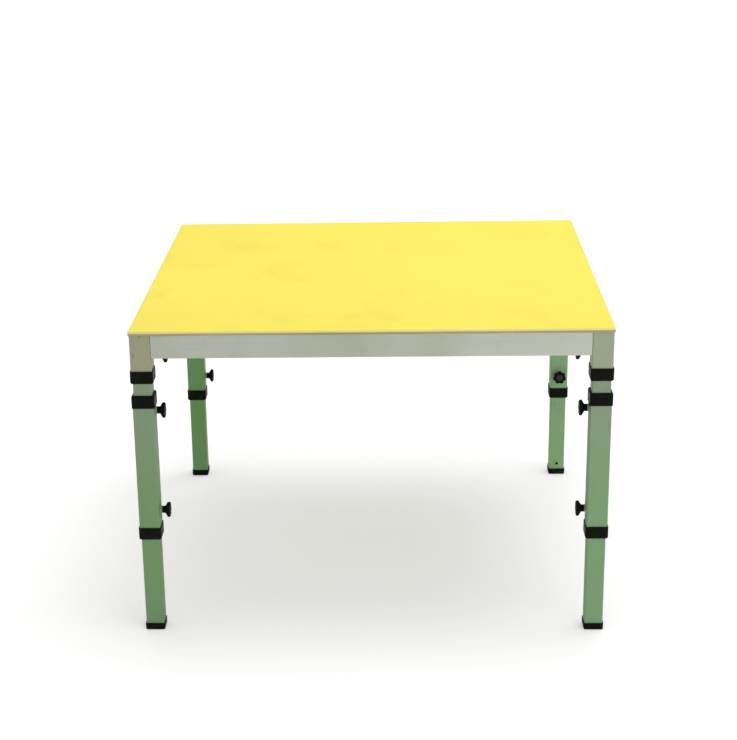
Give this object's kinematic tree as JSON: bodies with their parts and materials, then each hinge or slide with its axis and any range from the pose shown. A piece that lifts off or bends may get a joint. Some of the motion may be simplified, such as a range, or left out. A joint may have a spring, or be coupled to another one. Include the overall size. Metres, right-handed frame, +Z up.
{
  "type": "agility pause table",
  "caption": "Square dog agility pause table: yellow non-slip deck on an aluminium frame with telescopic square legs clamped by star knobs.",
  "frame": {"origin": "centre of the footprint on the floor", "axes": "+Z up through the deck's centre, -Y towards the front, +X to the right as seen from the front"},
  "size_m": [0.9, 0.9, 0.61],
  "materials": {
    "yellow_coating": "matt yellow non-slip coating, fine grain",
    "board_edge": "bare plywood, tan edge",
    "rail_aluminium": "satin mill-finish extrusion",
    "post_aluminium": "satin anodised, grey-green",
    "leg_aluminium": "satin anodised, sage green",
    "collar_plastic": "black moulded, fine texture",
    "cap_plastic": "black moulded, scuffed underneath",
    "knob_plastic": "black moulded, slight sheen",
    "zinc_steel": "zinc plated",
    "bracket_aluminium": "mill finish sheet"
  },
  "bodies": {
    "root": {"deck_board": "board_edge", "deck_coating": "yellow_coating", "front_rail": "rail_aluminium", "rear_rail": "rail_aluminium", "left_rail": "rail_aluminium", "right_rail": "rail_aluminium", "cross_braces": "rail_aluminium", "corner_gussets": "bracket_aluminium", "gusset_rivets": "bracket_aluminium", "deck_screws": "zinc_steel", "post_collars": "collar_plastic", "front_left_post": "post_aluminium", "front_right_post": "post_aluminium", "back_left_post": "post_aluminium", "back_right_post": "post_aluminium"},
    "front_left_coupler": {"front_left_coupler_tube": "leg_aluminium"},
    "front_left_main": {"front_left_main_tube": "leg_aluminium", "front_left_main_collars": "collar_plastic"},
    "front_left_foot": {"front_left_foot_tube": "leg_aluminium", "front_left_foot_cap": "cap_plastic"},
    "front_left_post_stud": {"front_left_post_stud": "zinc_steel"},
    "front_left_post_knob": {"front_left_post_knob": "knob_plastic"},
    "front_left_upper_stud": {"front_left_upper_stud": "zinc_steel"},
    "front_left_upper_knob": {"front_left_upper_knob": "knob_plastic"},
    "front_left_lower_stud": {"front_left_lower_stud": "zinc_steel"},
    "front_left_lower_knob": {"front_left_lower_knob": "knob_plastic"},
    "front_right_coupler": {"front_right_coupler_tube": "leg_aluminium"},
    "front_right_main": {"front_right_main_tube": "leg_aluminium", "front_right_main_collars": "collar_plastic"},
    "front_right_foot": {"front_right_foot_tube": "leg_aluminium", "front_right_foot_cap": "cap_plastic"},
    "front_right_post_stud": {"front_right_post_stud": "zinc_steel"},
    "front_right_post_knob": {"front_right_post_knob": "knob_plastic"},
    "front_right_upper_stud": {"front_right_upper_stud": "zinc_steel"},
    "front_right_upper_knob": {"front_right_upper_knob": "knob_plastic"},
    "front_right_lower_stud": {"front_right_lower_stud": "zinc_steel"},
    "front_right_lower_knob": {"front_right_lower_knob": "knob_plastic"},
    "back_left_coupler": {"back_left_coupler_tube": "leg_aluminium"},
    "back_left_main": {"back_left_main_tube": "leg_aluminium", "back_left_main_collars": "collar_plastic"},
    "back_left_foot": {"back_left_foot_tube": "leg_aluminium", "back_left_foot_cap": "cap_plastic"},
    "back_left_post_stud": {"back_left_post_stud": "zinc_steel"},
    "back_left_post_knob": {"back_left_post_knob": "knob_plastic"},
    "back_left_upper_stud": {"back_left_upper_stud": "zinc_steel"},
    "back_left_upper_knob": {"back_left_upper_knob": "knob_plastic"},
    "back_left_lower_stud": {"back_left_lower_stud": "zinc_steel"},
    "back_left_lower_knob": {"back_left_lower_knob": "knob_plastic"},
    "back_right_coupler": {"back_right_coupler_tube": "leg_aluminium"},
    "back_right_main": {"back_right_main_tube": "leg_aluminium", "back_right_main_collars": "collar_plastic"},
    "back_right_foot": {"back_right_foot_tube": "leg_aluminium", "back_right_foot_cap": "cap_plastic"},
    "back_right_post_stud": {"back_right_post_stud": "zinc_steel"},
    "back_right_post_knob": {"back_right_post_knob": "knob_plastic"},
    "back_right_upper_stud": {"back_right_upper_stud": "zinc_steel"},
    "back_right_upper_knob": {"back_right_upper_knob": "knob_plastic"},
    "back_right_lower_stud": {"back_right_lower_stud": "zinc_steel"},
    "back_right_lower_knob": {"back_right_lower_knob": "knob_plastic"}
  },
  "joints": [
    {"name": "front_left_coupler_slide", "type": "slide", "parent": "root", "child": "front_left_coupler", "axis": [0, 0, 1], "range_m": [0, 0.023]},
    {"name": "front_left_main_slide", "type": "slide", "parent": "front_left_coupler", "child": "front_left_main", "axis": [0, 0, 1], "range_m": [-0.007, 0]},
    {"name": "front_left_foot_slide", "type": "slide", "parent": "front_left_main", "child": "front_left_foot", "axis": [0, 0, 1], "range_m": [0, 0.1775]},
    {"name": "front_left_post_stud_feed", "type": "slide", "parent": "root", "child": "front_left_post_stud", "axis": [1, 0, 0], "range_m": [0, 0.0038]},
    {"name": "front_left_post_knob_turn", "type": "hinge", "parent": "front_left_post_stud", "child": "front_left_post_knob", "pos_m": [-0.4082, -0.4282, 0.56], "axis": [1, 0, 0], "range_deg": [0, 1080]},
    {"name": "front_left_upper_stud_feed", "type": "slide", "parent": "front_left_main", "child": "front_left_upper_stud", "axis": [1, 0, 0], "range_m": [0, 0.0038]},
    {"name": "front_left_upper_knob_turn", "type": "hinge", "parent": "front_left_upper_stud", "child": "front_left_upper_knob", "pos_m": [-0.4082, -0.4282, 0.4505], "axis": [1, 0, 0], "range_deg": [0, 1080]},
    {"name": "front_left_lower_stud_feed", "type": "slide", "parent": "front_left_main", "child": "front_left_lower_stud", "axis": [1, 0, 0], "range_m": [0, 0.0038]},
    {"name": "front_left_lower_knob_turn", "type": "hinge", "parent": "front_left_lower_stud", "child": "front_left_lower_knob", "pos_m": [-0.4082, -0.4282, 0.248], "axis": [1, 0, 0], "range_deg": [0, 1080]},
    {"name": "front_right_coupler_slide", "type": "slide", "parent": "root", "child": "front_right_coupler", "axis": [0, 0, 1], "range_m": [0, 0.023]},
    {"name": "front_right_main_slide", "type": "slide", "parent": "front_right_coupler", "child": "front_right_main", "axis": [0, 0, 1], "range_m": [-0.007, 0]},
    {"name": "front_right_foot_slide", "type": "slide", "parent": "front_right_main", "child": "front_right_foot", "axis": [0, 0, 1], "range_m": [0, 0.1775]},
    {"name": "front_right_post_stud_feed", "type": "slide", "parent": "root", "child": "front_right_post_stud", "axis": [-1, 0, 0], "range_m": [0, 0.0038]},
    {"name": "front_right_post_knob_turn", "type": "hinge", "parent": "front_right_post_stud", "child": "front_right_post_knob", "pos_m": [0.4082, -0.4282, 0.56], "axis": [-1, 0, 0], "range_deg": [0, 1080]},
    {"name": "front_right_upper_stud_feed", "type": "slide", "parent": "front_right_main", "child": "front_right_upper_stud", "axis": [-1, 0, 0], "range_m": [0, 0.0038]},
    {"name": "front_right_upper_knob_turn", "type": "hinge", "parent": "front_right_upper_stud", "child": "front_right_upper_knob", "pos_m": [0.4082, -0.4282, 0.4505], "axis": [-1, 0, 0], "range_deg": [0, 1080]},
    {"name": "front_right_lower_stud_feed", "type": "slide", "parent": "front_right_main", "child": "front_right_lower_stud", "axis": [-1, 0, 0], "range_m": [0, 0.0038]},
    {"name": "front_right_lower_knob_turn", "type": "hinge", "parent": "front_right_lower_stud", "child": "front_right_lower_knob", "pos_m": [0.4082, -0.4282, 0.248], "axis": [-1, 0, 0], "range_deg": [0, 1080]},
    {"name": "back_left_coupler_slide", "type": "slide", "parent": "root", "child": "back_left_coupler", "axis": [0, 0, 1], "range_m": [0, 0.023]},
    {"name": "back_left_main_slide", "type": "slide", "parent": "back_left_coupler", "child": "back_left_main", "axis": [0, 0, 1], "range_m": [-0.007, 0]},
    {"name": "back_left_foot_slide", "type": "slide", "parent": "back_left_main", "child": "back_left_foot", "axis": [0, 0, 1], "range_m": [0, 0.1775]},
    {"name": "back_left_post_stud_feed", "type": "slide", "parent": "root", "child": "back_left_post_stud", "axis": [1, 0, 0], "range_m": [0, 0.0038]},
    {"name": "back_left_post_knob_turn", "type": "hinge", "parent": "back_left_post_stud", "child": "back_left_post_knob", "pos_m": [-0.4082, 0.4282, 0.56], "axis": [1, 0, 0], "range_deg": [0, 1080]},
    {"name": "back_left_upper_stud_feed", "type": "slide", "parent": "back_left_main", "child": "back_left_upper_stud", "axis": [1, 0, 0], "range_m": [0, 0.0038]},
    {"name": "back_left_upper_knob_turn", "type": "hinge", "parent": "back_left_upper_stud", "child": "back_left_upper_knob", "pos_m": [-0.4082, 0.4282, 0.4505], "axis": [1, 0, 0], "range_deg": [0, 1080]},
    {"name": "back_left_lower_stud_feed", "type": "slide", "parent": "back_left_main", "child": "back_left_lower_stud", "axis": [1, 0, 0], "range_m": [0, 0.0038]},
    {"name": "back_left_lower_knob_turn", "type": "hinge", "parent": "back_left_lower_stud", "child": "back_left_lower_knob", "pos_m": [-0.4082, 0.4282, 0.248], "axis": [1, 0, 0], "range_deg": [0, 1080]},
    {"name": "back_right_coupler_slide", "type": "slide", "parent": "root", "child": "back_right_coupler", "axis": [0, 0, 1], "range_m": [0, 0.023]},
    {"name": "back_right_main_slide", "type": "slide", "parent": "back_right_coupler", "child": "back_right_main", "axis": [0, 0, 1], "range_m": [-0.007, 0]},
    {"name": "back_right_foot_slide", "type": "slide", "parent": "back_right_main", "child": "back_right_foot", "axis": [0, 0, 1], "range_m": [0, 0.1775]},
    {"name": "back_right_post_stud_feed", "type": "slide", "parent": "root", "child": "back_right_post_stud", "axis": [-1, 0, 0], "range_m": [0, 0.0038]},
    {"name": "back_right_post_knob_turn", "type": "hinge", "parent": "back_right_post_stud", "child": "back_right_post_knob", "pos_m": [0.4082, 0.4282, 0.56], "axis": [-1, 0, 0], "range_deg": [0, 1080]},
    {"name": "back_right_upper_stud_feed", "type": "slide", "parent": "back_right_main", "child": "back_right_upper_stud", "axis": [0, -1, 0], "range_m": [0, 0.0038]},
    {"name": "back_right_upper_knob_turn", "type": "hinge", "parent": "back_right_upper_stud", "child": "back_right_upper_knob", "pos_m": [0.4282, 0.4082, 0.4505], "axis": [0, -1, 0], "range_deg": [0, 1080]},
    {"name": "back_right_lower_stud_feed", "type": "slide", "parent": "back_right_main", "child": "back_right_lower_stud", "axis": [0, -1, 0], "range_m": [0, 0.0038]},
    {"name": "back_right_lower_knob_turn", "type": "hinge", "parent": "back_right_lower_stud", "child": "back_right_lower_knob", "pos_m": [0.4282, 0.4082, 0.248], "axis": [0, -1, 0], "range_deg": [0, 1080]}
  ],
  "couplings": [
    {"joint": "front_left_post_stud_feed", "follows": "front_left_post_knob_turn", "m_per_rad": 0.00019894},
    {"joint": "front_left_upper_stud_feed", "follows": "front_left_upper_knob_turn", "m_per_rad": 0.00019894},
    {"joint": "front_left_lower_stud_feed", "follows": "front_left_lower_knob_turn", "m_per_rad": 0.00019894},
    {"joint": "front_right_post_stud_feed", "follows": "front_right_post_knob_turn", "m_per_rad": 0.00019894},
    {"joint": "front_right_upper_stud_feed", "follows": "front_right_upper_knob_turn", "m_per_rad": 0.00019894},
    {"joint": "front_right_lower_stud_feed", "follows": "front_right_lower_knob_turn", "m_per_rad": 0.00019894},
    {"joint": "back_left_post_stud_feed", "follows": "back_left_post_knob_turn", "m_per_rad": 0.00019894},
    {"joint": "back_left_upper_stud_feed", "follows": "back_left_upper_knob_turn", "m_per_rad": 0.00019894},
    {"joint": "back_left_lower_stud_feed", "follows": "back_left_lower_knob_turn", "m_per_rad": 0.00019894},
    {"joint": "back_right_post_stud_feed", "follows": "back_right_post_knob_turn", "m_per_rad": 0.00019894},
    {"joint": "back_right_upper_stud_feed", "follows": "back_right_upper_knob_turn", "m_per_rad": 0.00019894},
    {"joint": "back_right_lower_stud_feed", "follows": "back_right_lower_knob_turn", "m_per_rad": 0.00019894}
  ]
}
